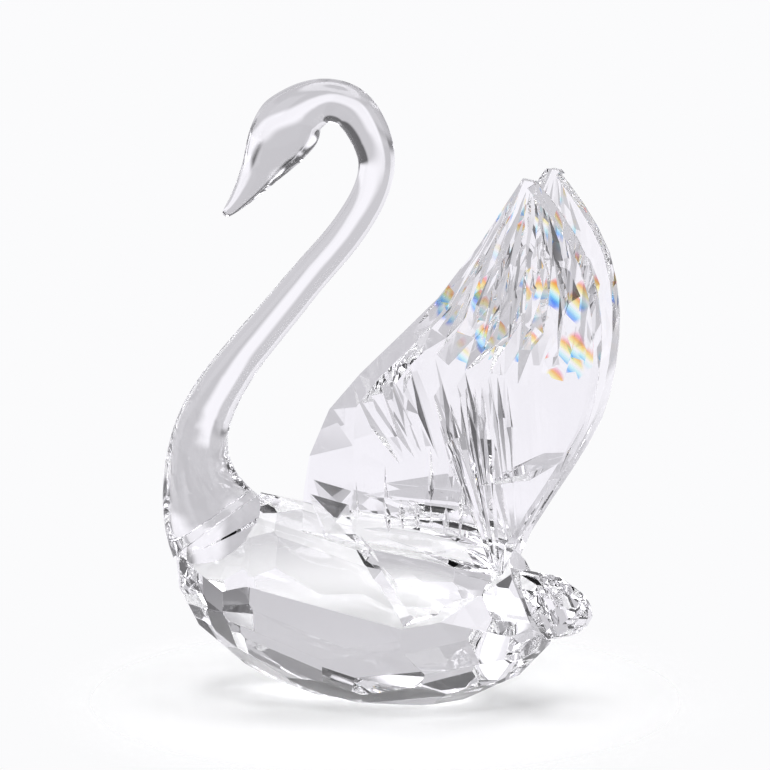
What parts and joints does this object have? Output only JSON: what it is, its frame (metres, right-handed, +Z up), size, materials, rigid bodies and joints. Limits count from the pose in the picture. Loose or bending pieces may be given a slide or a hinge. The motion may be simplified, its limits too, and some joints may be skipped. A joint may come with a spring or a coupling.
{
  "type": "crystal swan figurine",
  "caption": "Clear crystal swan figurine: smooth curved neck and head, boat-shaped faceted body, tall raised faceted wings and a short pointed tail, standing on a small flat.",
  "frame": {"origin": "on the flat underside of the body, in the plane that divides the swan's left from its right", "axes": "+Z up, -X the way the swan faces, -Y the swan's left side"},
  "size_m": [0.0817, 0.0402, 0.1102],
  "materials": {
    "polished_crystal": "clear, fire-polished",
    "cut_crystal": "clear, cut and polished facets"
  },
  "bodies": {
    "root": {"neck_and_head": "polished_crystal", "body": "cut_crystal", "wing_left": "cut_crystal", "wing_right": "cut_crystal", "tail": "cut_crystal"}
  },
  "joints": []
}
